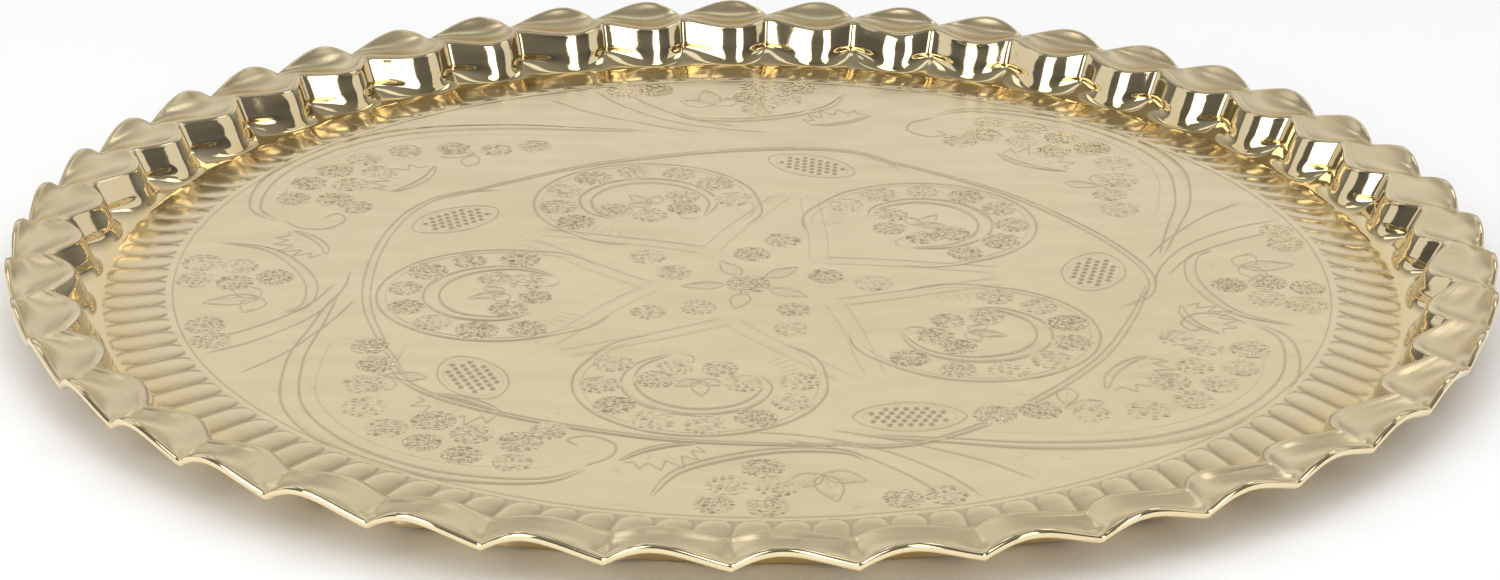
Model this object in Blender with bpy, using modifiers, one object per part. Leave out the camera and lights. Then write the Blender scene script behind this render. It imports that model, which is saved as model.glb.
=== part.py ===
"""Round brass serving tray: one raised sheet with a fluted wall, and a stiffening wire in its rolled rim.

Metres, +Z up. The origin is the middle of the tray, on the surface that it rests on.
Every ring of the sheet repeats once for each lobe. A lobe reaches from one groove to the next.
"""

import math

import bmesh
import bpy

# Driving dimensions
RADIUS = 0.300  # centre to the notches of the rolled rim
LOBES = 44
SHEET = 0.0006  # thickness of the brass sheet

FLOOR_RADIUS = 0.2405  # flat floor, inside the gadroon slope
FLOOR_HEIGHT = 0.0029  # top of the floor above the table
GUTTER_INNER = 0.2600  # flat ring that the tray rests on
GUTTER_OUTER = 0.2670
LIP_HEIGHT = 0.0176  # crisp edge where the wall turns out into the rim

BEAD_RADIUS = 0.0017  # outside of the rolled edge
WIRE_RADIUS = 0.0005
WIRE_END_GAP = 0.0006  # between the butted ends of the wire
NOTCH_HEIGHT = 0.0148  # middle of the rolled edge above the table, at a notch
CREST_HEIGHT = 0.0217  # the same, halfway between two notches
CREST_REACH = 0.0019  # how much further out the edge is there
CREST_ROUNDNESS = 0.8  # towards 0 the crests are as sharp as the notches
CREST_LEAN = 0.1  # how far the crests lean towards the notch before them

# Each pair is (radius, height) of the sheet's top surface, from the gutter to the lip
BARREL_PROFILE = [(0.2690, 0.0028), (0.2732, 0.0110), (0.2772, LIP_HEIGHT)]
GROOVE_PROFILE = [(0.2730, 0.0032), (0.2808, 0.0080), (0.2850, LIP_HEIGHT)]
# The same on the rim, from the lip to the rolled edge: (share of the rim's width, height)
LEAF_PROFILE = [(0.45, 0.0170)]
SPOUT_PROFILE = [(0.45, 0.0192)]

# Mesh fineness
COLUMNS_PER_LOBE = 6
CROWDING = 0.45  # how far the columns crowd towards the grooves
CURL_ANGLES = [90, 15, -60, -135]  # degrees, from the top of the rolled edge, out and under

BRASS = (0.63, 0.50, 0.27)
WIRE_BRASS = (0.55, 0.42, 0.20)


def clear_scene():
    for thing in list(bpy.data.objects):
        bpy.data.objects.remove(thing, do_unlink=True)


def metal(name, colour, roughness):
    material = bpy.data.materials.new(name)
    material.use_nodes = True
    shader = material.node_tree.nodes["Principled BSDF"]
    shader.inputs["Base Color"].default_value = (*colour, 1.0)
    shader.inputs["Metallic"].default_value = 1.0
    shader.inputs["Roughness"].default_value = roughness
    return material


def new_object(name, data, material, collection):
    thing = bpy.data.objects.new(name, data)
    thing.data.materials.append(material)
    collection.objects.link(thing)
    return thing


def leaned(phase):
    """Where a phase of the wave falls in its lobe, both from 0 to 1: the wave's middle comes early."""
    stretch = 1 + 4 * CREST_LEAN
    return (stretch - math.sqrt(stretch**2 - 16 * CREST_LEAN * phase)) / (8 * CREST_LEAN)


def columns():
    """The angle of every column, and how near it is to a groove: 1 on the groove, 0 on the crest."""
    found = []
    for lobe in range(LOBES):
        for index in range(COLUMNS_PER_LOBE):
            phase = index / COLUMNS_PER_LOBE
            phase -= CROWDING * math.sin(2 * math.pi * phase) / (2 * math.pi)
            found.append((2 * math.pi * (lobe + leaned(phase)) / LOBES, abs(2 * phase - 1)))
    return found


def mix(first, second, weight):
    return first + (second - first) * weight


def edge_centre(nearness):
    """Radius and height of the middle of the rolled edge."""
    fall = math.hypot(nearness, CREST_ROUNDNESS) - CREST_ROUNDNESS
    rise = 1 - fall / (math.hypot(1, CREST_ROUNDNESS) - CREST_ROUNDNESS)
    return RADIUS + CREST_REACH * (1 - nearness**2), mix(NOTCH_HEIGHT, CREST_HEIGHT, rise)


def sheet_profile(nearness):
    """(radius, height) of the sheet's top surface from the floor's edge to the end of the roll."""
    deep = nearness**2
    points = [(FLOOR_RADIUS, FLOOR_HEIGHT), (GUTTER_INNER, SHEET), (GUTTER_OUTER, SHEET)]
    for barrel, groove in zip(BARREL_PROFILE, GROOVE_PROFILE):
        points.append((mix(barrel[0], groove[0], deep), mix(barrel[1], groove[1], deep)))
    lip_radius = points[-1][0]
    edge_radius, edge_height = edge_centre(nearness)
    for leaf, spout in zip(LEAF_PROFILE, SPOUT_PROFILE):
        radius = mix(lip_radius, edge_radius, leaf[0])
        points.append((radius, mix(leaf[1], spout[1], deep)))
    for degrees in CURL_ANGLES:
        angle = math.radians(degrees)
        radius = edge_radius + BEAD_RADIUS * math.cos(angle)
        points.append((radius, edge_height + BEAD_RADIUS * math.sin(angle)))
    return points


def at(angle, radius, height):
    return (radius * math.cos(angle), radius * math.sin(angle), height)


def loft(bm, sections):
    """Quads between neighbouring columns of points, all the way round, and one face over the middle."""
    strips = [[bm.verts.new(point) for point in section] for section in sections]
    for here, there in zip(strips, strips[1:] + strips[:1]):
        for low in range(len(here) - 1):
            bm.faces.new((here[low], here[low + 1], there[low + 1], there[low]))
    bm.faces.new([strip[0] for strip in strips])


def tray_sheet(collection):
    bm = bmesh.new()
    loft(bm, [[at(angle, *point) for point in sheet_profile(near)] for angle, near in columns()])
    mesh = bpy.data.meshes.new("tray_sheet")
    bm.to_mesh(mesh)
    bm.free()
    mesh.shade_smooth()
    sheet = new_object("tray_sheet", mesh, metal("sheet_brass", BRASS, 0.18), collection)
    shell = sheet.modifiers.new("sheet_thickness", "SOLIDIFY")
    shell.thickness = SHEET
    shell.offset = -1.0
    shell.use_even_offset = True
    return sheet


def rim_wire(collection):
    """The wire lies along the middle of the roll, and its two ends butt on a crest."""
    points = []
    for angle, near in columns():
        points.append(at(angle, *edge_centre(near)))
    half_lobe = COLUMNS_PER_LOBE // 2
    points = points[half_lobe:] + points[:half_lobe]
    radius, height = edge_centre(0.0)
    crest = 2 * math.pi * leaned(0.5) / LOBES
    back_off = WIRE_END_GAP / 2 / radius
    points[0] = at(crest + back_off, radius, height)
    points.append(at(crest - back_off, radius, height))
    curve = bpy.data.curves.new("rim_wire", "CURVE")
    curve.dimensions = "3D"
    curve.bevel_depth = WIRE_RADIUS
    curve.bevel_resolution = 1
    curve.use_fill_caps = True
    spline = curve.splines.new("POLY")
    spline.points.add(len(points) - 1)
    for target, point in zip(spline.points, points):
        target.co = (*point, 1.0)
    return new_object("rim_wire", curve, metal("wire_brass", WIRE_BRASS, 0.35), collection)


def main():
    clear_scene()
    collection = bpy.data.collections.new("brass_tray")
    bpy.context.scene.collection.children.link(collection)
    tray_sheet(collection)
    rim_wire(collection)


main()
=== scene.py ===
"""Looks of the round brass tray: the sheet in its full relief, its metal, and a plain studio.

Lengths are in metres and the frame's axes are used throughout: +Z up, -Y towards the viewer, the
origin in the middle of the tray on the surface that it rests on. The floor's ornament is drawn in
millimetres from the tray's middle, as an engraver would lay it out, and turned into a height map.
"""

import math
import random

import bpy
import numpy as np
from mathutils import Matrix, Vector


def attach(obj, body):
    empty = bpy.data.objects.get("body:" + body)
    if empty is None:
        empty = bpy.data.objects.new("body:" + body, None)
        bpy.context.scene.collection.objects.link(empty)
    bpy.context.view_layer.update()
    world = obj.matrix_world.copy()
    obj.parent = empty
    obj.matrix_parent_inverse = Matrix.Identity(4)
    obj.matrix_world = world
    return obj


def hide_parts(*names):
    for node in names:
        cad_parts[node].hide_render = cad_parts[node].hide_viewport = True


MM = 0.001

# ---------------------------------------------------------------- sizes shared with the solid model
RADIUS = 0.300  # centre to the notches of the rolled rim
LOBES = 44
SHEET = 0.0006  # thickness of the brass sheet
FLOOR_RADIUS = 0.2405
FLOOR_HEIGHT = 0.0029
GUTTER_INNER = 0.2600  # flat ring that the tray rests on
GUTTER_OUTER = 0.2670
BEAD_RADIUS = 0.0017  # outside of the rolled edge
NOTCH_HEIGHT = 0.0148  # middle of the rolled edge above the table, at a notch
CREST_HEIGHT = 0.0217  # the same, on a crest
CREST_REACH = 0.00168  # how much further out it is there: a little less than the solid's, to stay in its box
CREST_ROUNDNESS = 0.8  # towards 0 the crests are as sharp as the notches
CREST_LEAN = 0.1  # how far the crests lean towards the notch before them

# (radius, height) from the floor's edge to the rim: on the middle of a lobe, and in a groove
SLOPE = [(FLOOR_RADIUS, FLOOR_HEIGHT), (0.2500, 0.0018), (GUTTER_INNER, SHEET), (GUTTER_OUTER, SHEET)]
BARREL = [(0.2685, 0.0010), (0.2696, 0.0030), (0.2726, 0.0098), (0.2754, 0.0162), (0.2759, 0.0173)]
GROOVE = [(0.2714, 0.0018), (0.2782, 0.0046), (0.2808, 0.0092), (0.2848, 0.0170), (0.2858, 0.0187)]
LEAF = [(0.2768, 0.0178), (0.2824, 0.0170), (0.2884, 0.0162), (0.2936, 0.0168), (0.2982, 0.0196)]
SPOUT = [(0.2872, 0.0192), (0.2906, 0.0191), (0.2938, 0.0184), (0.2964, 0.0175), (0.2986, 0.0165)]
ROLL_RUN = 0.005  # along the sheet, from the last of those points to the roll
CREST_ROLL_START = 115.0  # where the roll leaves the rim, in degrees round the bead
NOTCH_ROLL_START = 62.0
ROLL_END = -135.0
ROLL_SQUARENESS = 2.7  # 2 is round, and more flattens the edge's outer face
GROOVE_OVERSHOOT = 1.1  # rounded off again, which leaves the grooves a round bottom
# how far one lobe differs from the next
HOLLOW_PLAY = 0.0005
BULGE_PLAY = 0.00035
GROOVE_PLAY = 0.05  # of a lobe's pitch

# ---------------------------------------------------------------- fineness of the mesh
FLOOR_CELLS = 768  # across the floor; four times this go round it
ROWS = {"slope": 30, "gutter": 5, "wall": 30, "lip": 5, "leaf": 26, "roll": 16}  # of faces
MAP_STEP = 0.25  # millimetres between the height map's points
MAP_HALF = 246.0  # millimetres from the map's middle to its edge

# ---------------------------------------------------------------- gadroons
GADROONS = 112
GADROON_HEIGHT = 0.0006
GADROON_SLANT = 0.30  # of a gadroon's pitch, from its inner to its outer end
GADROON_ENDS = (0.2400, 0.2660)  # radii
GADROON_FILL = 0.97  # of its pitch
GADROON_FLATNESS, GADROON_FULLNESS = 2.2, 0.6  # powers that shape its crown
GRIME_EDGES = (0.82, 1.0, 1.25)  # where dirt starts, is thickest and ends, in half widths from its middle

# ---------------------------------------------------------------- the sheet's unevenness, dirt, polish and painted shade
WAVE_LENGTHS = (0.061, 0.047, 0.038, 0.029, 0.023, 0.019)
WAVE_STEEPNESS = 0.0005
TOP_CALM, UNDER_CALM = 0.002, 0.004  # the floor's relief dies out over this much at its edge
SHOW_THROUGH = 0.6  # how much of the relief shows on the underside
UNDERSIDE_GRIME = 0.35
# (from, to) where the painted shade low in the gutter fades in: two spans of radius, and one of height
RECESS_INNER, RECESS_OUTER, RECESS_TOP = (0.250, 0.260), (0.2745, 0.2685), (0.0075, 0.0035)
# how strongly the golden painted shade tints the gutter
GUTTER_SHADE_STRENGTH = 0.5
FLOOR_GLOSS = 0.45  # between the satin of the rim, 0, and the mirror of the wall, 1
ROSETTE_GLOSS = 0.4  # what a bright rosette adds

random.seed(11)


def fade(values, start, end):
    """0 at start and 1 at end, and steady beyond them. The end may be the lower of the two."""
    return np.clip((values - start) / (end - start), 0, 1)


def polar(distance, degrees):
    return distance * math.cos(math.radians(degrees)), distance * math.sin(math.radians(degrees))


# ================================================================ height map of the floor's ornament
def dome(across, up, radius):
    """1 in the middle, falling to 0 at the radius."""
    return np.clip(1 - (across**2 + up**2) / radius**2, 0, 1)


def line_size(share, taper):
    """How full a line is at a share of its length, when it grows and shrinks over taper at its ends."""
    return min(1.0, share / taper, (1 - share) / taper) if taper else 1.0


def walk(points, step):
    """Places along the points, about a step apart: x, y, and the share of the length so far."""
    points = np.asarray(points, float)
    run = np.concatenate([[0], np.cumsum(np.hypot(*np.diff(points, axis=0).T))])
    for place in np.linspace(0, run[-1], max(2, int(run[-1] / step))):
        yield np.interp(place, run, points[:, 0]), np.interp(place, run, points[:, 1]), place / run[-1]


class HeightMap:
    """Square grids round the tray's middle: heights in millimetres for each kind of work, and shine."""

    def __init__(self):
        count = int(2 * MAP_HALF / MAP_STEP) + 1
        self.raised = np.zeros((count, count), np.float32)
        self.cut = np.zeros((count, count), np.float32)
        self.stamped = np.zeros((count, count), np.float32)
        self.shine = np.zeros((count, count), np.float32)

    def window(self, x, y, reach):
        """Slices of the grid round a point, and the distances from the point within them."""
        column, row = (x + MAP_HALF) / MAP_STEP, (y + MAP_HALF) / MAP_STEP
        cells = reach / MAP_STEP
        size = len(self.cut)
        left, right = max(0, math.ceil(column - cells)), min(size, math.floor(column + cells) + 1)
        low, high = max(0, math.ceil(row - cells)), min(size, math.floor(row + cells) + 1)
        across = (np.arange(left, right) - column) * MAP_STEP
        up = (np.arange(low, high) - row) * MAP_STEP
        return (slice(low, high), slice(left, right)), across[None, :], up[:, None]

    def dot(self, x, y, radius, depth):
        """A round hollow, cut into the sheet."""
        where, across, up = self.window(x, y, radius)
        np.minimum(self.cut[where], -depth * dome(across, up, radius), out=self.cut[where])

    def stroke(self, points, width, depth, taper=0.25):
        """A chased line: a rounded trough, finer towards its ends."""
        for x, y, share in walk(points, 1.5 * MAP_STEP):
            size = 0.25 + 0.75 * line_size(share, taper) ** 0.6
            self.dot(x, y, width * size, depth * size)

    def band(self, points, width, height, taper=0.2):
        """A soft raised band along the points."""
        for x, y, share in walk(points, 2 * MAP_STEP):
            size = line_size(share, taper) ** 0.5
            reach = max(width * size, 2 * MAP_STEP)
            where, across, up = self.window(x, y, reach)
            lift = height * size * dome(across, up, reach) ** 1.5
            np.maximum(self.raised[where], lift, out=self.raised[where])

    def bead(self, x, y, radius, height):
        """A round bump inside a stamped flower."""
        where, across, up = self.window(x, y, radius)
        np.maximum(self.stamped[where], height * dome(across, up, radius), out=self.stamped[where])

    def rosette(self, x, y, radius):
        """A stamped flower: a ring of beads round a ring of petals and a pip, each a little uneven."""
        radius *= random.uniform(0.88, 1.08)
        turn = random.uniform(0, 360)
        # the punch leaves a shallow disc inside a deeper border
        where, across, up = self.window(x, y, radius * 1.06)
        away = np.hypot(across, up) / radius
        border = np.clip(1 - ((away - 0.98) / 0.07) ** 2, 0, 1)
        sunk = -0.04 * (away < 0.96) - 0.11 * border
        before = self.stamped[where]
        self.stamped[where] = np.where(before > 0, before, np.minimum(before, sunk))
        shine = random.uniform(0.15, 0.7) * (away < 0.98)
        self.shine[where] = np.maximum(self.shine[where], shine)
        lean_x, lean_y = random.uniform(-0.3, 0.3), random.uniform(-0.3, 0.3)
        # how many, how far out and how large, as shares of the radius
        beads = (random.choice((11, 12, 13)), 0.82, 0.20)
        petals = (random.choice((6, 7)), 0.43, 0.21)
        pip = (1, 0, 0.2)
        for count, ring, size in (beads, petals, pip):
            for k in range(count):
                distance = radius * ring * random.uniform(0.92, 1.05)
                dx, dy = polar(distance, turn + 360 * (k + random.uniform(-0.2, 0.2)) / count)
                height = random.uniform(0.08, 0.34) * (1 + (lean_x * dx + lean_y * dy) / radius)
                self.bead(x + dx, y + dy, radius * size * random.uniform(0.75, 1.15), height)

    def heights(self):
        """The whole relief. Inside a stamped flower nothing else shows."""
        return np.where(self.stamped != 0, self.stamped, self.raised + self.cut)

    def at(self, x, y, grid):
        """Bilinear reading of one of the grids, at places in metres."""
        column = np.clip((x / MM + MAP_HALF) / MAP_STEP, 0, grid.shape[1] - 1.001)
        row = np.clip((y / MM + MAP_HALF) / MAP_STEP, 0, grid.shape[0] - 1.001)
        i, j = column.astype(int), row.astype(int)
        u, v = column - i, row - j
        low = grid[j, i] * (1 - u) + grid[j, i + 1] * u
        high = grid[j + 1, i] * (1 - u) + grid[j + 1, i + 1] * u
        return low * (1 - v) + high * v


def smooth(points, closed=False, fineness=12):
    """A smooth curve through a few points."""
    p = np.asarray(points, float)
    if closed:
        p = np.vstack([p[-1], p, p[0], p[1]])
    else:
        p = np.vstack([2 * p[0] - p[1], p, 2 * p[-1] - p[-2]])
    t = np.linspace(0, 1, fineness, endpoint=False)[:, None]
    parts = []
    for a, b, c, d in zip(p, p[1:], p[2:], p[3:]):
        bend, twist = 2 * a - 5 * b + 4 * c - d, 3 * b - a - 3 * c + d
        parts.append(0.5 * (2 * b + (c - a) * t + bend * t**2 + twist * t**3))
    parts.append(p[-2:-1])
    return np.vstack(parts)


def placed(points, x, y, degrees):
    """Points of a motif, turned and moved to where it goes."""
    c, s = math.cos(math.radians(degrees)), math.sin(math.radians(degrees))
    return np.asarray(points, float) @ np.array([[c, s], [-s, c]]) + [x, y]


# ================================================================ the floor's motifs, in millimetres
LINE, FINE, HAIR = 0.78, 0.60, 0.48  # half the width of a chased line
DEEP, SHALLOW = 0.13, 0.08
DOT_RADIUS, DOT_DEPTH = 1.35, 0.38
ROSETTE = 8.3  # radius
STAR_X, STAR_Y = -1.0, -20.0
MEDALLION_TURN, MEDALLION_DISTANCE, MEDALLION_RADIUS = 45.0, 103.0, 49.0
ALMOND_TURN, ALMOND_DISTANCE = 8.0, 144.0
SCROLL_TURNS = (46, 147, 233, 324)
FILLER_TURNS = (2, 96, 192, 278)
BORDER_RADIUS = 238.0


def around_tray(places, turn):
    """Points given by distance and angle from the tray's middle."""
    return np.array([polar(d, a + turn) for d, a in places])


def around_star(places, turn=0.0):
    """Points given by distance and angle from the star's middle."""
    return around_tray(places, turn) + [STAR_X, STAR_Y]


def beside(points, gap):
    """A curve that runs beside another, on its left where the gap is positive."""
    along = np.gradient(points, axis=0)
    along /= np.hypot(along[:, 0], along[:, 1])[:, None]
    return points + np.stack([-along[:, 1], along[:, 0]], 1) * gap


def ribbon(relief, points, width, line=LINE, depth=DEEP):
    """A raised band that swells and tapers between two chased lines."""
    p = smooth(points, fineness=16)
    swell = np.sin(np.pi * np.linspace(0, 1, len(p)))[:, None] ** 0.6 * width / 2
    relief.band(p, width * 0.42, 0.22)
    relief.stroke(beside(p, swell), line, depth, 0.06)
    relief.stroke(beside(p, -swell), line, depth, 0.06)


def petal(relief, x, y, degrees, length, breadth, vein=True):
    """A pointed leaf that starts at a point."""
    for side in (1, -1):
        near, far = (length * 0.3, side * breadth * 0.46), (length * 0.62, side * breadth * 0.42)
        edge = smooth([(0, 0), near, far, (length, 0)])
        relief.stroke(placed(edge, x, y, degrees), FINE, DEEP, 0.05)
    relief.band(placed([(length * 0.15, 0), (length * 0.8, 0)], x, y, degrees), breadth * 0.28, 0.16)
    if vein:
        relief.stroke(placed([(length * 0.1, 0), (length * 0.7, 0)], x, y, degrees), HAIR, SHALLOW)


def trefoil(relief, x, y, degrees, size=1.0):
    """A leaf of three pointed lobes."""
    for turn, length in ((-58, 15), (0, 21), (58, 15)):
        petal(relief, x, y, degrees + turn, length * size, 9 * size)


def crown_leaf(relief, x, y, degrees, size=1.0):
    """A leaf with a saw-toothed edge on a curved base."""
    teeth = [(-17, 0), (-18, 8), (-13, 4), (-12, 14), (-7, 7), (-3, 18)]
    teeth += [(1, 8), (7, 16), (9, 7), (15, 11), (14, 4), (19, 2)]
    teeth = np.array(teeth) * size
    base = np.array([(-19, -1), (-8, -5), (6, -5), (20, 0)]) * size
    relief.stroke(placed(teeth, x, y, degrees), FINE, DEEP, 0.02)
    ribbon(relief, placed(base, x, y, degrees), 4 * size, FINE)
    for px, py in teeth[[2, 5, 8]]:
        relief.stroke(placed([(px * 0.5, 0), (px, py * 0.8)], x, y, degrees), HAIR, SHALLOW)


def star(relief):
    """Five points outlined by broad bands, each with its rosettes, round a ring of petals."""
    for k in range(5):
        tip = ALMOND_TURN + 72 * k
        for side in (1, -1):
            edge = [(40, 36 * side), (60, 18 * side), (80, 9 * side), (106, 3 * side)]
            edge = smooth(around_star(edge, tip))
            relief.band(edge, 5.5, 0.20)
            for gap in (-4.0, 4.0):
                relief.stroke(beside(edge, gap), FINE, SHALLOW, 0.05)
        for distance, turn in ((33, 9), (51, -5)):
            x, y = around_star([(distance, turn)], tip)[0]
            relief.rosette(x, y, ROSETTE * 0.94)
        x, y = around_star([(9, 36)], tip)[0]
        petal(relief, x, y, tip + 36, 19, 8, vein=False)
    relief.rosette(STAR_X, STAR_Y, ROSETTE * 1.1)


def medallion(relief, k):
    """A round frame, open towards the star, with a coiled comma, rosettes and a leaf."""
    away = MEDALLION_TURN + 72 * k
    x, y = around_star([(MEDALLION_DISTANCE, away)])[0]
    turns = range(-150, 151, 20)
    outline = np.array([polar(MEDALLION_RADIUS + (2.5 if abs(t) > 120 else 0), t) for t in turns])
    relief.stroke(placed(smooth(outline), x, y, away), LINE, DEEP, 0.03)
    relief.stroke(placed(smooth(outline * 0.925), x, y, away), FINE, SHALLOW, 0.06)
    relief.band(placed(smooth(outline * 0.96), x, y, away), 2.2, 0.14)
    # a comma that coils round the inner flowers and ends in a hook
    comma = [(31, -150), (29, -110), (27.5, -70), (27, -30), (27, 10), (27, 50), (26, 90), (24, 125)]
    ribbon(relief, placed(around_tray(comma, 0), x, y, away), 6.5)
    hook = [(31, -150), (26, -162), (20, -160), (17, -145), (20, -132)]
    relief.stroke(placed(smooth(around_tray(hook, 0)), x, y, away), FINE, DEEP)
    for turn in (-108, -76, -46, -16, 14, 44, 74, 104):
        px, py = placed([polar(38.5, turn)], x, y, away)[0]
        relief.rosette(px, py, ROSETTE)
    for px, py in ((-13, -12), (-15, 5), (0, -17), (-3, 16)):
        qx, qy = placed([(px, py)], x, y, away)[0]
        relief.rosette(qx, qy, ROSETTE * 0.95)
    lx, ly = placed([(-3, -1)], x, y, away)[0]
    trefoil(relief, lx, ly, away + 15, 0.75)
    for turn in (119, 125, 131, 137):
        relief.stroke(placed([polar(32, turn), polar(43, turn + 3)], x, y, away), FINE, SHALLOW)
    # a vine outside the medallion, towards the next one
    vine = [(150, -53), (164, -46), (166, -36), (159, -20), (156, 0), (158, 18), (164, 30)]
    ribbon(relief, around_star(vine, away), 3.6, FINE)


def almond(relief, k):
    """A pointed oval filled with punched dots, between two medallions."""
    away = ALMOND_TURN + 72 * k
    x, y = around_star([(ALMOND_DISTANCE, away)])[0]
    turn = away + 70
    outline = [(-21, 0), (-14, 9), (0, 13), (14, 9.5), (22, 0), (14, -9.5), (0, -13), (-14, -9)]
    outline = smooth(outline, closed=True)
    relief.stroke(placed(outline, x, y, turn), FINE, DEEP, 0)
    relief.stroke(placed(outline * 0.84, x, y, turn), HAIR, SHALLOW, 0)
    # rows of dots, every other one shifted by half a step, inside an oval
    step, row_gap, half_length, half_breadth = 3.9, 3.6, 15.5, 9
    for row in range(-2, 3):
        for column in range(-4, 5):
            px, py = step * (column + (0.5 if row % 2 else 0)), row_gap * row
            if (px / half_length) ** 2 + (py / half_breadth) ** 2 < 1:
                qx, qy = placed([(px, py)], x, y, turn)[0]
                relief.dot(qx, qy, DOT_RADIUS, DOT_DEPTH)


def scroll(relief, middle):
    """A long C along the border that leaves it to run beside the vine, over a cluster of rosettes."""
    outer = [(206, 22), (224, 18), (235, 9), (236, -1), (227, -11), (206, -21), (186, -30), (171, -41)]
    ribbon(relief, around_tray(outer, middle), 7.5)
    inner = [(200, 20), (214, 16.5), (225, 8), (226, -1), (216, -11), (196, -20), (178, -28)]
    relief.stroke(smooth(around_tray(inner, middle)), FINE, SHALLOW, 0.1)
    curl = [(207, 21), (196, 23), (185, 22.5), (181, 19), (187, 17), (191, 19)]
    relief.stroke(smooth(around_tray(curl, middle)), LINE, DEEP, 0.06)
    rosettes = [(215, 4), (216, 9), (213, 14.2), (214, -1), (207, -6.5), (198, 1.5), (199, 7)]
    rosettes += [(196, 12.5), (194, -11.5), (183, 14), (180, -15.5), (174, -21)]
    for distance, turn in rosettes:
        x, y = polar(distance, middle + turn)
        relief.rosette(x, y, ROSETTE)
    x, y = polar(181, middle + 1)
    crown_leaf(relief, x, y, middle - 84)
    x, y = polar(190, middle - 8)
    petal(relief, x, y, middle - 120, 17, 8)
    x, y = polar(172, middle - 8)
    petal(relief, x, y, middle - 60, 17, 8)


def filler(relief, middle):
    """Leaves and rosettes between two scrolls, on stems that run out to the border."""
    stems = [
        [(166, -8), (170, 0), (186, 8), (212, 12.5), (236, 14)],
        [(172, -3), (186, 4.5), (210, 9), (234, 11)],
        [(165, 3), (179, 10), (205, 17), (230, 20)],
    ]
    for stem in stems:
        relief.stroke(smooth(around_tray(stem, middle)), LINE, DEEP, 0.08)
    crook = [(226, -16), (204, -14.5), (190, -10), (182, -3), (186, 4), (197, 6)]
    ribbon(relief, around_tray(crook, middle), 5.0, FINE)
    x, y = polar(203, middle + 0.5)
    trefoil(relief, x, y, middle + 6, 1.15)
    rosettes = [(228, -10), (212, -9), (229, -5.3), (197, -5.5), (228, 7), (229, 11), (213, -4.2)]
    for distance, turn in rosettes:
        x, y = polar(distance, middle + turn)
        relief.rosette(x, y, ROSETTE)
    x, y = polar(188, middle - 17)
    crown_leaf(relief, x, y, middle - 70, 0.85)


def ornament():
    """The height map with every motif in it."""
    relief = HeightMap()
    star(relief)
    for k in range(5):
        medallion(relief, k)
        almond(relief, k)
    for middle in SCROLL_TURNS:
        scroll(relief, middle)
    for middle in FILLER_TURNS:
        filler(relief, middle)
    border = [(BORDER_RADIUS, degrees) for degrees in np.linspace(0, 360, 90)]
    relief.stroke(around_tray(border, 0), FINE, DEEP, 0)
    return relief


# ================================================================ the sheet's surface
def hermite(stations, controls, where):
    """Values at where, on a smooth curve through the controls, which have one row per station."""
    slope = np.gradient(controls, stations, axis=0)
    k = np.clip(np.searchsorted(stations, where, side="right") - 1, 0, len(stations) - 2)
    span = (stations[k + 1] - stations[k])[:, None]
    t = ((where - stations[k]) / (stations[k + 1] - stations[k]))[:, None]
    a, b = controls[k], controls[k + 1]
    m, n = slope[k] * span, slope[k + 1] * span
    leaving = (2 * t**3 - 3 * t**2 + 1) * a + (t**3 - 2 * t**2 + t) * m
    return leaving + (3 * t**2 - 2 * t**3) * b + (t**3 - t**2) * n


def round_off(values, softness=0.12):
    """The values, rounded over just before they reach 1."""
    gap = (1 - values) / softness
    return 1 - softness * np.logaddexp(0, gap)


def edge_centre(nearness):
    """Radius and height of the middle of the rolled edge, and its share of the way from notch to crest."""
    fall = np.hypot(nearness, CREST_ROUNDNESS) - CREST_ROUNDNESS
    rise = 1 - fall / (math.hypot(1, CREST_ROUNDNESS) - CREST_ROUNDNESS)
    radius = RADIUS + CREST_REACH * (1 - nearness**2)
    return radius, NOTCH_HEIGHT + (CREST_HEIGHT - NOTCH_HEIGHT) * rise, rise


def roll_point(edge_r, edge_z, angle):
    """A point on the rolled edge, whose outer face is hammered a little flat."""
    c, s = np.cos(angle), np.sin(angle)
    power = ROLL_SQUARENESS
    reach = BEAD_RADIUS / (np.abs(c) ** power + np.abs(s) ** power) ** (1 / power)
    return edge_r + reach * c, edge_z + reach * s


def lobe_values(spread):
    """One random number for each lobe."""
    return np.array([random.uniform(-spread, spread) for _ in range(LOBES)])


def per_lobe(place, spread):
    """One random number for each lobe, at every place in it."""
    return lobe_values(spread)[place.astype(int) % LOBES]


def groove_wander(place, spread):
    """How far the grooves stray sideways, changing smoothly from one to the next."""
    values = lobe_values(spread)
    return np.interp(place % LOBES, np.arange(LOBES + 1), np.append(values, values[0]))


def nearness_at(place):
    """How near a place is to a groove: 1 on the groove, 0 on the crest, which comes early in its lobe."""
    share = place % 1.0
    return np.abs(2 * (share + 4 * CREST_LEAN * share * (1 - share)) - 1)


def rim_stations(middle, lip):
    """How far along the sheet its points are, and how far along each row of the mesh is."""
    stations = np.concatenate([[0], np.cumsum(np.hypot(*np.diff(middle, axis=0).T))])
    stations = np.append(stations, stations[-1] + ROLL_RUN)
    # the slope, gutter, wall, lip and rim each have their own fineness
    counts = [ROWS[part] for part in ("slope", "gutter", "wall", "lip", "leaf")]
    ends = [0, stations[2], stations[3], stations[lip - 1], stations[lip + 1], stations[-1]]
    rows = [np.linspace(a, b, n, endpoint=False) for a, b, n in zip(ends, ends[1:], counts)]
    return stations, np.concatenate([*rows, [stations[-1]]])


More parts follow.
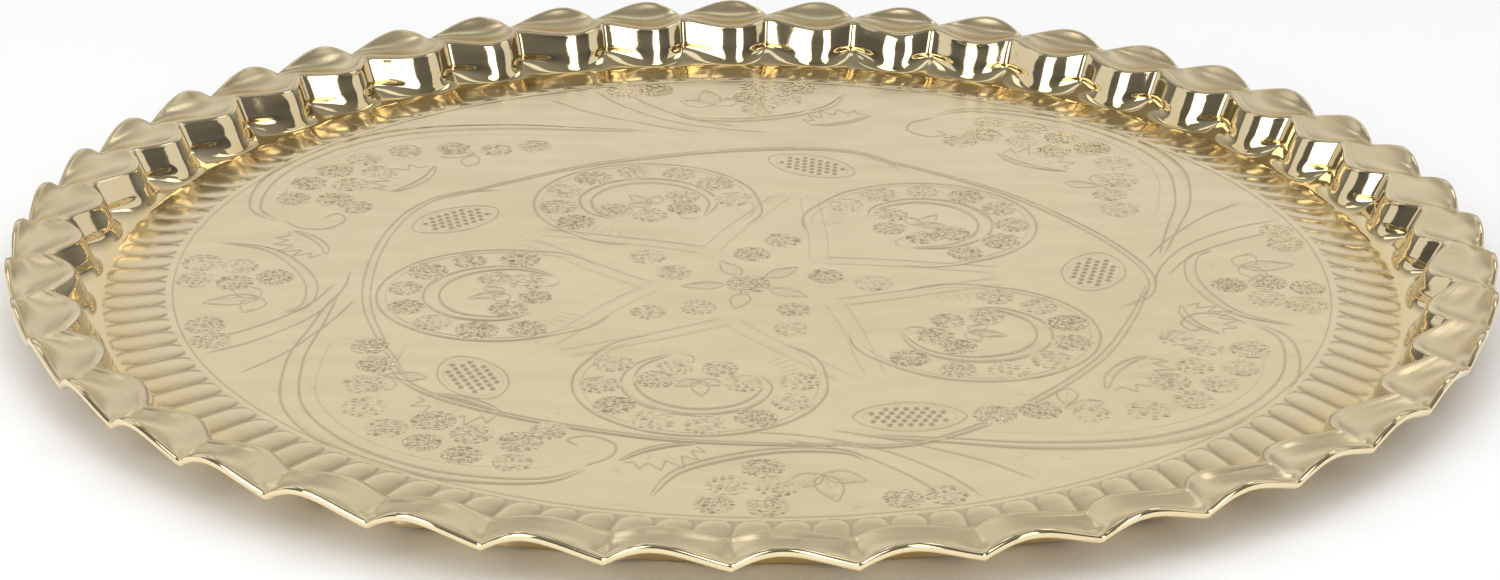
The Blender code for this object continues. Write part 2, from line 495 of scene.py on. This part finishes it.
def sheet_top(place):
    """Radius and height of the sheet's top from the floor's edge to the roll.

    Gives the middle of the rolled edge as well, and the angle where the roll starts.
    """
    nearness = nearness_at(place)
    strayed = nearness_at(place + groove_wander(place, GROOVE_PLAY))
    deep = round_off(GROOVE_OVERSHOOT * strayed**2)
    edge_r, edge_z, rise = edge_centre(nearness)
    hollow = per_lobe(place, HOLLOW_PLAY) * rise
    bulge = per_lobe(place, BULGE_PLAY) * rise
    start = np.radians(NOTCH_ROLL_START + (CREST_ROLL_START - NOTCH_ROLL_START) * rise)
    middle = np.array(SLOPE + BARREL + LEAF)
    groove = np.array(SLOPE + GROOVE + SPOUT)
    lip = len(SLOPE) + len(BARREL) - 1
    # the grooves' depth gives way to the edge's own wave on the way out from the lip
    outward = np.clip((np.arange(len(middle)) - lip) / (len(middle) - lip), 0, 1)[:, None]
    stations, where = rim_stations(middle, lip)
    found = []
    for axis, roll in enumerate(roll_point(edge_r, edge_z, start)):
        crest = middle[:, axis][:, None]
        shift = (groove - middle)[:, axis][:, None]
        controls = (crest + shift * deep) * (1 - outward) + (crest + shift * (1 - rise)) * outward
        # the lobes differ in how far the wall bulges, and in how high the rim's hollow lies
        if axis == 0:
            controls[len(SLOPE) + 1 : lip] += bulge
        else:
            controls[lip + 2 : lip + 5] += hollow
        found.append(hermite(stations, np.vstack([controls, roll]), where))
    return found[0], np.maximum(found[1], SHEET), edge_r, edge_z, start


def gadroons(radius, angles):
    """Round-ended fingers on the slope: how far they rise, and the dirt that gathers between them."""
    inner, outer = GADROON_ENDS
    along = (radius - inner) / (outer - inner)
    phase = (GADROONS * angles / (2 * np.pi))[None, :] + GADROON_SLANT * along
    half = np.pi * radius / GADROONS * GADROON_FILL
    side = ((phase % 1.0) - 0.5) * 2 * np.pi * radius / GADROONS
    beyond = np.maximum(np.maximum(inner + half - radius, radius - (outer - half)), 0)
    off = np.hypot(side, beyond) / half
    lift = GADROON_HEIGHT * (1 - np.clip(off, 0, 1) ** GADROON_FLATNESS) ** GADROON_FULLNESS
    first, thickest, last = GRIME_EDGES
    on_slope = (along > -0.02) & (along < 1.02)
    return lift, fade(off, first, thickest) * fade(off, last, thickest) * on_slope


def rim_gloss(count):
    """Polish of each row: the wall and the roll shine, the rim between them is satin."""
    row = np.arange(count)[:, None]
    first_wall = ROWS["slope"] + ROWS["gutter"]
    first_leaf = first_wall + ROWS["wall"] + ROWS["lip"]
    last_leaf = first_leaf + ROWS["leaf"]
    gloss = np.where(row >= first_wall, 1.0, FLOOR_GLOSS)
    return np.where((row >= first_leaf) & (row <= last_leaf), 0.0, gloss)


def rim_grid(columns):
    """The sheet's top from the floor's edge to the end of the roll.

    Gives the points (rows x columns x 3), and the grime and the gloss at each.
    """
    angles = 2 * np.pi * np.arange(columns) / columns
    radius, height, edge_r, edge_z, start = sheet_top(angles / (2 * np.pi) * LOBES)
    lift, grime = gadroons(radius, angles)
    turns = np.linspace(0, 1, ROWS["roll"] + 1)[1:, None]
    angle = start + (np.radians(ROLL_END) - start) * turns
    rolled_r, rolled_z = roll_point(edge_r, edge_z, angle)
    radius, height = np.vstack([radius, rolled_r]), np.vstack([height + lift, rolled_z])
    grime = np.vstack([grime, np.zeros(angle.shape)])
    gloss = np.broadcast_to(rim_gloss(len(radius)), radius.shape)
    return np.stack([radius * np.cos(angles), radius * np.sin(angles), height], -1), grime, gloss


def grid_normals(points):
    """Normals of a grid whose columns close into a ring."""
    along = np.gradient(points, axis=0)
    around = np.roll(points, -1, axis=1) - np.roll(points, 1, axis=1)
    normals = np.cross(along, around)
    return normals / np.linalg.norm(normals, axis=2, keepdims=True)


def disc_grid(cells):
    """A square grid bent into the unit disc, with equal steps round its edge, and the edge's numbers."""
    line = np.linspace(-1, 1, cells + 1)
    a, b = np.meshgrid(line, line)
    wide = np.abs(a) > np.abs(b)
    safe_a, safe_b = np.where(a == 0, 1, a), np.where(b == 0, 1, b)
    radius = np.where(wide, a, b)
    angle = np.where(wide, np.pi / 4 * b / safe_a, np.pi / 2 - np.pi / 4 * a / safe_b)
    angle = np.where((a == 0) & (b == 0), 0, angle)
    x, y = radius * np.cos(angle), radius * np.sin(angle)
    side = np.arange(cells)
    ids = np.arange((cells + 1) ** 2).reshape(cells + 1, cells + 1)
    edge = np.concatenate([ids[side, cells], ids[cells, cells - side], ids[cells - side, 0], ids[0, side]])
    return x, y, np.roll(edge, -(cells // 2))  # so that the edge starts on +X


def grid_quads(ids):
    """The faces of a grid, from its points' numbers."""
    return np.stack([ids[:-1, :-1], ids[:-1, 1:], ids[1:, 1:], ids[1:, :-1]], -1).reshape(-1, 4)


def ring_quads(low, high):
    """The faces between two rings of points."""
    return np.stack([low, high, np.roll(high, -1), np.roll(low, -1)], -1)


def halving_triangles(fine, coarse):
    """Three triangles for each step of the coarse ring, which has half as many points as the fine one."""
    f0, f1, f2 = fine[0::2], fine[1::2], np.roll(fine, -2)[0::2]
    c0, c1 = coarse, np.roll(coarse, -1)
    return np.concatenate([np.stack(t, -1) for t in ((f0, c0, f1), (c0, c1, f1), (f1, c1, f2))])


def build_mesh(name, points, quads, triangles, attributes):
    """A smooth-shaded mesh, with a number for every point in each of the attributes."""
    mesh = bpy.data.meshes.new(name)
    mesh.vertices.add(len(points))
    mesh.vertices.foreach_set("co", np.asarray(points, np.float32).ravel())
    corners = np.concatenate([quads.ravel(), triangles.ravel()])
    sizes = np.concatenate([np.full(len(quads), 4), np.full(len(triangles), 3)])
    mesh.loops.add(len(corners))
    mesh.loops.foreach_set("vertex_index", corners.astype(np.int32))
    mesh.polygons.add(len(sizes))
    starts = np.concatenate([[0], np.cumsum(sizes)[:-1]]).astype(np.int32)
    mesh.polygons.foreach_set("loop_start", starts)
    mesh.polygons.foreach_set("use_smooth", np.ones(len(sizes), bool))
    for label, values in attributes.items():
        layer = mesh.attributes.new(label, "FLOAT", "POINT")
        layer.data.foreach_set("value", np.asarray(values, np.float32))
    mesh.update(calc_edges=True)
    mesh.validate()
    return mesh


def waviness(x, y):
    """The shallow unevenness of a sheet worked by hand."""
    total = np.zeros_like(x)
    for length in WAVE_LENGTHS:
        turn, start = random.uniform(0, 2 * math.pi), random.uniform(0, 2 * math.pi)
        along = x * math.cos(turn) + y * math.sin(turn)
        total += length * WAVE_STEEPNESS * np.sin(along * 2 * math.pi / length + start)
    return total


class Surface:
    """The sheet's points, with what its metal needs to know of each, gathered part by part."""

    def __init__(self):
        self.points, self.grime, self.buffed, self.stamped = [], [], [], []
        self.count = 0

    def add(self, points, grime, buffed, stamped=0.0):
        """Takes a grid of points and their values, and gives the grid of the points' numbers."""
        shape = points.shape[:2]
        self.points.append(points.reshape(-1, 3))
        for kept, values in ((self.grime, grime), (self.buffed, buffed), (self.stamped, stamped)):
            kept.append(np.broadcast_to(values, shape).ravel())
        numbers = self.count + np.arange(shape[0] * shape[1]).reshape(shape)
        self.count += numbers.size
        return numbers


def floor_top(surface, relief, top_map):
    """The floor with its whole relief. Gives its points' numbers, and those along its edge."""
    x, y, edge = disc_grid(FLOOR_CELLS)
    x, y = x * FLOOR_RADIUS, y * FLOOR_RADIUS
    calm = fade(np.hypot(x, y), FLOOR_RADIUS, FLOOR_RADIUS - TOP_CALM)
    z = FLOOR_HEIGHT + (relief.at(x, y, top_map) * MM + waviness(x, y)) * calm
    dirty = np.clip(-relief.cut / DEEP, 0, 1) * (relief.stamped == 0)
    grime = relief.at(x, y, dirty) * calm
    shine = relief.at(x, y, relief.shine)
    numbers = surface.add(np.stack([x, y, z], -1), grime, FLOOR_GLOSS + ROSETTE_GLOSS * shine, shine)
    return numbers, numbers.ravel()[edge]


def floor_underside(surface, relief, top_map):
    """The same for the floor's underside, where the relief shows through softer."""
    x, y, edge = disc_grid(FLOOR_CELLS // 2)
    reach = FLOOR_RADIUS - 0.1 * MM
    x, y = x * reach, y * reach
    calm = fade(np.hypot(x, y), FLOOR_RADIUS, FLOOR_RADIUS - UNDER_CALM)
    z = FLOOR_HEIGHT - SHEET + relief.at(x, y, top_map) * MM * SHOW_THROUGH * calm
    numbers = surface.add(np.stack([x, y, z], -1), UNDERSIDE_GRIME, 0.0)
    return numbers, numbers.ravel()[edge]


def gutter_shade_at(points):
    """How much painted shade a point gets: most down in the gutter."""
    away = np.hypot(points[:, 0], points[:, 1])
    return fade(away, *RECESS_INNER) * fade(away, *RECESS_OUTER) * fade(points[:, 2], *RECESS_TOP)


def tray_mesh():
    """The whole sheet as one closed surface."""
    relief = ornament()
    top_map = relief.heights()
    surface = Surface()
    floor, floor_edge = floor_top(surface, relief, top_map)
    # fine columns as far as the gutter, half as many beyond
    rim, grime, gloss = rim_grid(4 * FLOOR_CELLS)
    split = ROWS["slope"] + 2  # rows into the gutter
    inner = surface.add(rim[1:split], grime[1:split], gloss[1:split])
    outer = surface.add(rim[split:, ::2], grime[split:, ::2], gloss[split:, ::2])
    # the outer columns set in by the sheet's thickness, from the roll back to the floor
    rim = rim[:, ::2]
    under = (rim - SHEET * grid_normals(rim))[::-1][::2][:-1]
    under[..., 2] = np.maximum(under[..., 2], 0)
    under = surface.add(under, UNDERSIDE_GRIME, 0.0)
    base, base_edge = floor_underside(surface, relief, top_map)
    quads = [grid_quads(floor)]
    for rings in ([floor_edge, *inner], [*outer, *under]):
        quads += [ring_quads(low, high) for low, high in zip(rings, rings[1:])]
    quads += [grid_quads(base)[:, ::-1], ring_quads(under[-1], base_edge)]
    triangles = halving_triangles(inner[-1], outer[0])
    points = np.concatenate(surface.points)
    attributes = {
        "grime": np.concatenate(surface.grime),
        # a darker golden tone painted as shade low in the gutter
        "painted_gutter_shade": gutter_shade_at(points) * GUTTER_SHADE_STRENGTH,
        "buffed": np.concatenate(surface.buffed),
        "stamped": np.concatenate(surface.stamped),
    }
    return build_mesh("tray_sheet_relief", points, np.concatenate(quads), triangles, attributes)


# ================================================================ materials
PALE_BRASS = (0.90, 0.755, 0.475)
WARM_BRASS = (0.84, 0.66, 0.40)
DULL_BRASS = (0.62, 0.50, 0.31)
# the golden tone of the shade painted low in the gutter
PAINTED_SHADE_GOLD = (0.86, 0.64, 0.27)
DIRT = (0.26, 0.19, 0.10)
GRIME_STRENGTH = 0.32


def brass(name, colour, roughness):
    """A plain metal to build on: the material, its nodes, its links and its shader."""
    material = bpy.data.materials.new(name)
    material.use_nodes = True
    nodes, links = material.node_tree.nodes, material.node_tree.links
    shader = nodes["Principled BSDF"]
    shader.inputs["Metallic"].default_value = 1.0
    shader.inputs["Base Color"].default_value = (*colour, 1)
    shader.inputs["Roughness"].default_value = roughness
    return material, nodes, links, shader


def mix_colour(nodes, links, factor, base, other):
    """From base to other by the factor. Each is a colour or a socket that gives one."""
    node = nodes.new("ShaderNodeMix")
    node.data_type = "RGBA"
    links.new(factor, node.inputs["Factor"])
    for socket, value in (("A", base), ("B", other)):
        if isinstance(value, tuple):
            node.inputs[socket].default_value = (*value, 1)
        else:
            links.new(value, node.inputs[socket])
    return node.outputs["Result"]


def noise(nodes, links, scale, detail=4.0, stretch=None):
    """Noise over the object. A stretch is a scale across a direction, and the direction in radians."""
    place = nodes.new("ShaderNodeTexCoord")
    source = place.outputs["Object"]
    if stretch:
        mapping = nodes.new("ShaderNodeMapping")
        scale_across, turn = stretch
        mapping.inputs["Rotation"].default_value = (0, 0, turn)
        mapping.inputs["Scale"].default_value = (1, scale_across, 1)
        links.new(source, mapping.inputs[0])
        source = mapping.outputs[0]
    node = nodes.new("ShaderNodeTexNoise")
    node.inputs["Scale"].default_value = scale
    node.inputs["Detail"].default_value = detail
    links.new(source, node.inputs["Vector"])
    return node.outputs["Fac"]


def to_range(nodes, links, value, low, high, bottom, top):
    """The value between low and high, brought to between bottom and top."""
    node = nodes.new("ShaderNodeMapRange")
    for name, number in (("From Min", low), ("From Max", high), ("To Min", bottom), ("To Max", top)):
        node.inputs[name].default_value = number
    links.new(value, node.inputs["Value"])
    return node.outputs[0]


def combine(nodes, links, first, second, operation="ADD"):
    node = nodes.new("ShaderNodeMath")
    node.operation = operation
    links.new(first, node.inputs[0])
    links.new(second, node.inputs[1])
    return node.outputs[0]


def attribute(nodes, name):
    node = nodes.new("ShaderNodeAttribute")
    node.attribute_name = name
    return node.outputs["Fac"]


def new_bump(nodes, links, height, distance, strength=1.0):
    node = nodes.new("ShaderNodeBump")
    node.inputs["Strength"].default_value = strength
    node.inputs["Distance"].default_value = distance
    links.new(height, node.inputs["Height"])
    return node


def sheet_material():
    """Polished brass, with tarnish, dirt and wear, and a painted shade in the gutter, where the attributes
    of the mesh put them.
    """
    material, nodes, links, shader = brass("polished_brass", PALE_BRASS, 0.2)
    grime = attribute(nodes, "grime")
    # warm patches of tarnish, a golden painted shade low in the gutter, and dirt in the chased lines
    patches = to_range(nodes, links, noise(nodes, links, 9.0), 0.45, 0.75, 0.0, 0.55)
    colour = mix_colour(nodes, links, patches, PALE_BRASS, WARM_BRASS)
    specks = to_range(nodes, links, noise(nodes, links, 160.0, 6.0), 0.62, 0.80, 0.0, 0.35)
    colour = mix_colour(nodes, links, specks, colour, DULL_BRASS)
    colour = mix_colour(nodes, links, attribute(nodes, "painted_gutter_shade"), colour, PAINTED_SHADE_GOLD)
    dirt = to_range(nodes, links, grime, 0.15, 1.0, 0.0, GRIME_STRENGTH)
    colour = mix_colour(nodes, links, dirt, colour, DIRT)
    links.new(colour, shader.inputs["Base Color"])
    # soft wipe marks and the wear of handling in the gloss
    wiped = to_range(nodes, links, noise(nodes, links, 22.0, 5.0, (3.5, 0.6)), 0.3, 0.7, 0.15, 0.25)
    caked = to_range(nodes, links, grime, 0.2, 1.0, 0.0, 0.18)
    polish = to_range(nodes, links, attribute(nodes, "buffed"), 0.0, 1.0, 1.5, 0.4)
    rough = combine(nodes, links, combine(nodes, links, wiped, caked), polish, "MULTIPLY")
    links.new(rough, shader.inputs["Roughness"])
    # hairline scratches both ways and fine planishing dents
    fine = noise(nodes, links, 900.0, 3.0, (0.05, 0.4))
    cross = noise(nodes, links, 900.0, 3.0, (0.05, -1.1))
    dents = noise(nodes, links, 120.0, 2.0)
    height = combine(nodes, links, combine(nodes, links, fine, cross), dents)
    worn = new_bump(nodes, links, height, 0.0001, 0.10)
    # fine facets left by the punches in the stamped flowers
    place = nodes.new("ShaderNodeTexCoord")
    facets = nodes.new("ShaderNodeTexVoronoi")
    facets.inputs["Scale"].default_value = 520.0
    links.new(place.outputs["Object"], facets.inputs["Vector"])
    punched = new_bump(nodes, links, facets.outputs["Distance"], 0.0006)
    links.new(attribute(nodes, "stamped"), punched.inputs["Strength"])
    links.new(worn.outputs[0], punched.inputs["Normal"])
    links.new(punched.outputs[0], shader.inputs["Normal"])
    return material


def wire_material():
    """Drawn brass wire, duller than the sheet and finely pitted."""
    material, nodes, links, shader = brass("drawn_brass_wire", DULL_BRASS, 0.35)
    tone = to_range(nodes, links, noise(nodes, links, 60.0), 0.35, 0.7, 0.0, 1.0)
    links.new(mix_colour(nodes, links, tone, DULL_BRASS, WARM_BRASS), shader.inputs["Base Color"])
    rough = to_range(nodes, links, noise(nodes, links, 400.0), 0.3, 0.7, 0.28, 0.45)
    links.new(rough, shader.inputs["Roughness"])
    pits = new_bump(nodes, links, noise(nodes, links, 2500.0, 2.0), 0.00005, 0.3)
    links.new(pits.outputs[0], shader.inputs["Normal"])
    return material


def floor_material():
    material = bpy.data.materials.new("pale_floor")
    material.use_nodes = True
    shader = material.node_tree.nodes["Principled BSDF"]
    shader.inputs["Base Color"].default_value = (0.92, 0.92, 0.92, 1)
    shader.inputs["Roughness"].default_value = 0.9
    return material


# ================================================================ studio
# (sine of elevation, brightness)
BACK_SKY = [(0, 0.22), (0.20, 0.46), (0.31, 0.79), (0.45, 0.79), (0.62, 0.62), (0.80, 0.44), (1, 0.26)]
FRONT_SKY = [(0, 0.06), (0.3, 0.11), (0.7, 0.19), (1, 0.26)]
SKY_TURNS = (0.25, 0.92)  # how far towards the back the front sky starts and ends giving way to it
# azimuth from the viewer's side in degrees (+ to the right), elevation, width, height, distance, brightness
SOFTBOXES = [
    (-42, 26, 1.6, 2.4, 2.7, 2.4),
    (31, 26, 1.0, 2.4, 2.7, 2.4),
    (100, 24, 1.5, 2.0, 2.8, 0.65),
    (-104, 24, 1.5, 2.0, 2.8, 0.65),
    (132, 50, 0.8, 0.6, 2.6, 1.6),
    (-136, 52, 0.6, 0.6, 2.6, 1.1),
    (180, 70, 1.2, 0.5, 2.6, 0.75),
]
OVERHEAD_SIZE, OVERHEAD_HEIGHT, OVERHEAD_BRIGHTNESS = 5.0, 3.0, 1.05
GROUND_SIZE = 12.0


def ramp(nodes, stops):
    """A grey ramp through the (place, brightness) stops."""
    node = nodes.new("ShaderNodeValToRGB")
    elements = node.color_ramp.elements
    while len(elements) < len(stops):
        elements.new(0.5)
    for element, (place, value) in zip(elements, stops):
        element.position = place
        element.color = (value, value, value, 1)
    return node


def sky():
    """A soft surround: bright low behind the tray, dimmer overhead, dark in front of it."""
    world = bpy.data.worlds.new("studio")
    world.use_nodes = True
    nodes, links = world.node_tree.nodes, world.node_tree.links
    place = nodes.new("ShaderNodeTexCoord")
    split = nodes.new("ShaderNodeSeparateXYZ")
    back, front = ramp(nodes, BACK_SKY), ramp(nodes, FRONT_SKY)
    side = nodes.new("ShaderNodeMapRange")
    side.interpolation_type = "SMOOTHSTEP"
    side.inputs["From Min"].default_value, side.inputs["From Max"].default_value = SKY_TURNS
    mix = nodes.new("ShaderNodeMix")
    mix.data_type = "RGBA"
    links.new(place.outputs["Generated"], split.inputs[0])
    links.new(split.outputs["Y"], side.inputs["Value"])
    links.new(split.outputs["Z"], back.inputs[0])
    links.new(split.outputs["Z"], front.inputs[0])
    links.new(side.outputs[0], mix.inputs["Factor"])
    links.new(front.outputs[0], mix.inputs["A"])
    links.new(back.outputs[0], mix.inputs["B"])
    links.new(mix.outputs["Result"], nodes["Background"].inputs["Color"])
    bpy.context.scene.world = world


def softbox(azimuth, elevation, width, height, distance, brightness):
    """A soft lamp that faces the tray's middle."""
    data = bpy.data.lights.new("softbox", "AREA")
    data.shape = "RECTANGLE"
    data.size, data.size_y = width, height
    data.energy = brightness * width * height * math.pi
    light = bpy.data.objects.new("softbox", data)
    bpy.context.scene.collection.objects.link(light)
    around, up = math.radians(azimuth), math.radians(elevation)
    level = distance * math.cos(up)
    light.location = (level * math.sin(around), -level * math.cos(around), distance * math.sin(up))
    light.rotation_euler = (-light.location).to_track_quat("-Z", "Y").to_euler()


def overhead():
    """A large lamp that evens out the ground, and doesn't show in the metal."""
    data = bpy.data.lights.new("overhead", "AREA")
    data.size = OVERHEAD_SIZE
    data.energy = OVERHEAD_BRIGHTNESS * OVERHEAD_SIZE**2 * math.pi
    light = bpy.data.objects.new("overhead", data)
    bpy.context.scene.collection.objects.link(light)
    light.location = (0, 0, OVERHEAD_HEIGHT)
    light.visible_glossy = False


def studio():
    sky()
    overhead()
    for box in SOFTBOXES:
        softbox(*box)
    bpy.context.scene.view_settings.view_transform = "Standard"
    bpy.ops.mesh.primitive_plane_add(size=GROUND_SIZE, location=(0, 0, 0))
    floor = bpy.context.object
    floor.name = "floor"
    floor.data.materials.append(floor_material())


CAMERA_PLACE = (0.0, -1.3173, 0.5310)
CAMERA_TARGET = (-0.0008, -0.0591, 0.0161)
CAMERA_ROLL = 0.609  # degrees
CAMERA_LENS, SENSOR_WIDTH = 81.94, 36
VIEW_TURN = 1.124  # degrees that the camera goes round the tray from there


def camera():
    turn = Matrix.Rotation(math.radians(VIEW_TURN), 4, "Z")
    place, target = turn @ Vector(CAMERA_PLACE), turn @ Vector(CAMERA_TARGET)
    data = bpy.data.cameras.new("camera")
    data.lens, data.sensor_width = CAMERA_LENS, SENSOR_WIDTH
    thing = bpy.data.objects.new("camera", data)
    bpy.context.scene.collection.objects.link(thing)
    thing.location = place
    aim = (target - place).to_track_quat("-Z", "Y").to_matrix()
    aim = aim @ Matrix.Rotation(math.radians(CAMERA_ROLL), 3, "Z")
    thing.rotation_euler = aim.to_euler()
    bpy.context.scene.camera = thing


# ================================================================ the scene
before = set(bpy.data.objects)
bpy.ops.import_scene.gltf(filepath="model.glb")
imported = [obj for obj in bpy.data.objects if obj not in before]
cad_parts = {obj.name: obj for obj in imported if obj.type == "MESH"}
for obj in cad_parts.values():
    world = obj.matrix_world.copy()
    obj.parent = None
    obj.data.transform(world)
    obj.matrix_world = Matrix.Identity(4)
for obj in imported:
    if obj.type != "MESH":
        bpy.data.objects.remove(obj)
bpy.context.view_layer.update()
camera()
studio()

tray = bpy.data.objects.new("brass_tray", tray_mesh())
bpy.context.scene.collection.objects.link(tray)
tray.data.materials.append(sheet_material())
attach(tray, "root")
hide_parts("tray_sheet")
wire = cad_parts["rim_wire"]
wire.data.materials.clear()
wire.data.materials.append(wire_material())
